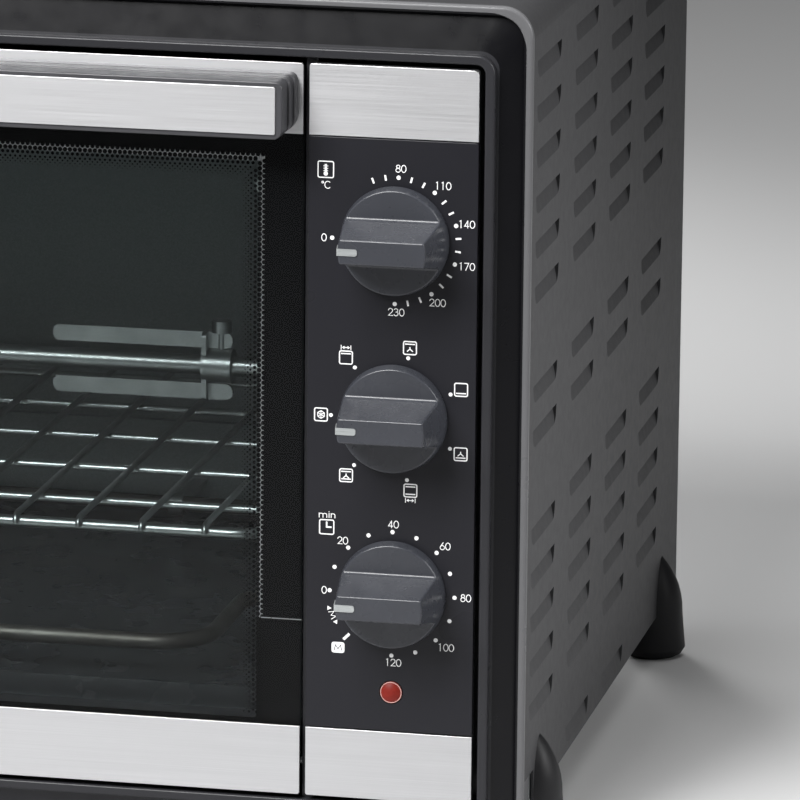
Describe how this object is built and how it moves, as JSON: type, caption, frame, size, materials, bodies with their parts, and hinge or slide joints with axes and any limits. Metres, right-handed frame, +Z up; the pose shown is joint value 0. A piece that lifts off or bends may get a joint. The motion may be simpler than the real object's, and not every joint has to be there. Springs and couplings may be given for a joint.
{
  "type": "mini oven",
  "caption": "Countertop oven with a drop-down glass door, a column of rotary controls, a wire rack, a roasting spit, a fan and heating tubes.",
  "frame": {"origin": "on the table, under the middle of the oven's bounding box", "axes": "+X to the right seen from the front, +Y from the front to the back, +Z up"},
  "size_m": [0.536, 0.3997, 0.329],
  "materials": {
    "case_paint": "satin black baked paint with a faint grain",
    "galvanised_sheet": "plain galvanised sheet",
    "frame_plastic": "satin black moulded plastic",
    "inner_front_sheet": "dull zinc coated sheet",
    "oven_lining": "dark heat proof lining",
    "carrier_plastic": "black moulded plastic",
    "panel_plate": "satin near-black paint with white print",
    "brushed_strip": "brushed along the strip",
    "lamp_red": "clear red lens",
    "control_plastic": "moulded phenolic plastic",
    "bright_wire": "bright plated wire and sheet",
    "heater_tube": "dark annealed steel tube",
    "motor_steel": "stamped steel",
    "machined_steel": "turned steel",
    "fan_alloy": "pressed aluminium",
    "foot_plastic": "polished black plastic",
    "pad_rubber": "soft black rubber",
    "screw_steel": "zinc plated",
    "tray_enamel": "black enamel",
    "door_metal": "black enamel",
    "outer_pane": "smoked glass with a printed border",
    "inner_pane": "clear heat proof glass",
    "handle_plastic": "satin dark plastic",
    "knob_plastic": "satin blue-black plastic",
    "pointer_silver": "bright metal insert"
  },
  "bodies": {
    "oven": {"base_pan": "galvanised_sheet", "bottom_heater": "heater_tube", "bulb_clips": "bright_wire", "case_wrap": "case_paint", "cavity_back_wall": "oven_lining", "cavity_floor": "oven_lining", "cavity_left_wall": "oven_lining", "cavity_right_wall": "oven_lining", "cavity_roof": "oven_lining", "control_panel": "panel_plate", "cord_gland": "foot_plastic", "crumb_tray": "tray_enamel", "fan_housing": "galvanised_sheet", "fan_motor": "motor_steel", "feet": "foot_plastic", "foot_pads": "pad_rubber", "front_frame": "frame_plastic", "front_plate": "inner_front_sheet", "heater_clips": "bright_wire", "hinge_pins": "machined_steel", "panel_bottom_strip": "brushed_strip", "panel_carrier": "carrier_plastic", "panel_top_strip": "brushed_strip", "power_lamp_body": "control_plastic", "power_lamp_lens": "lamp_red", "rear_panel": "galvanised_sheet", "rear_screws": "screw_steel", "rear_spacers": "foot_plastic", "selector_body": "control_plastic", "spit_motor": "motor_steel", "spit_rest": "bright_wire", "terminal_block": "control_plastic", "thermostat_body": "control_plastic", "thermostat_bulb": "bright_wire", "timer_body": "control_plastic", "top_heater": "heater_tube"},
    "door": {"door_frame": "door_metal", "outer_glass": "outer_pane", "inner_glass": "inner_pane", "glass_clips": "bright_wire", "door_top_strip": "brushed_strip", "door_bottom_strip": "brushed_strip", "handle_body": "handle_plastic", "handle_plate": "brushed_strip"},
    "temperature_dial": {"temperature_knob": "knob_plastic", "temperature_pointer": "pointer_silver", "thermostat_shaft": "machined_steel"},
    "function_dial": {"function_knob": "knob_plastic", "function_pointer": "pointer_silver", "selector_shaft": "machined_steel"},
    "timer_dial": {"timer_knob": "knob_plastic", "timer_pointer": "pointer_silver", "timer_shaft": "machined_steel"},
    "fan": {"fan_blade": "fan_alloy", "fan_shaft": "machined_steel"},
    "spit": {"drive_socket": "machined_steel", "spit_rod": "bright_wire", "spit_forks": "bright_wire", "fork_screws": "bright_wire"},
    "rack": {"wire_rack": "bright_wire"}
  },
  "joints": [
    {"name": "door_hinge", "type": "hinge", "parent": "oven", "child": "door", "pos_m": [-0.03325, -0.1702, 0.0354], "axis": [1, 0, 0], "range_deg": [0, 86]},
    {"name": "temperature_turn", "type": "hinge", "parent": "oven", "child": "temperature_dial", "pos_m": [0.20705, -0.1764, 0.2398], "axis": [0, 1, 0], "range_deg": [0, 270]},
    {"name": "function_turn", "type": "hinge", "parent": "oven", "child": "function_dial", "pos_m": [0.20705, -0.1764, 0.172], "axis": [0, 1, 0], "range_deg": [0, 308.5]},
    {"name": "timer_turn", "type": "hinge", "parent": "oven", "child": "timer_dial", "pos_m": [0.20705, -0.1764, 0.1042], "axis": [0, 1, 0], "range_deg": [-45, 270]},
    {"name": "fan_spin", "type": "hinge", "parent": "oven", "child": "fan", "pos_m": [0.1538, 0.0674, 0.172], "axis": [1, 0, 0], "continuous": true},
    {"name": "spit_spin", "type": "hinge", "parent": "oven", "child": "spit", "pos_m": [-0.03325, -0.0266, 0.154], "axis": [1, 0, 0], "continuous": true},
    {"name": "rack_slide", "type": "slide", "parent": "oven", "child": "rack", "axis": [0, -1, 0], "range_m": [0, 0.083]}
  ],
  "couplings": [
    {"joint": "rack_slide", "follows": "door_hinge", "m_per_rad": 0.055}
  ]
}
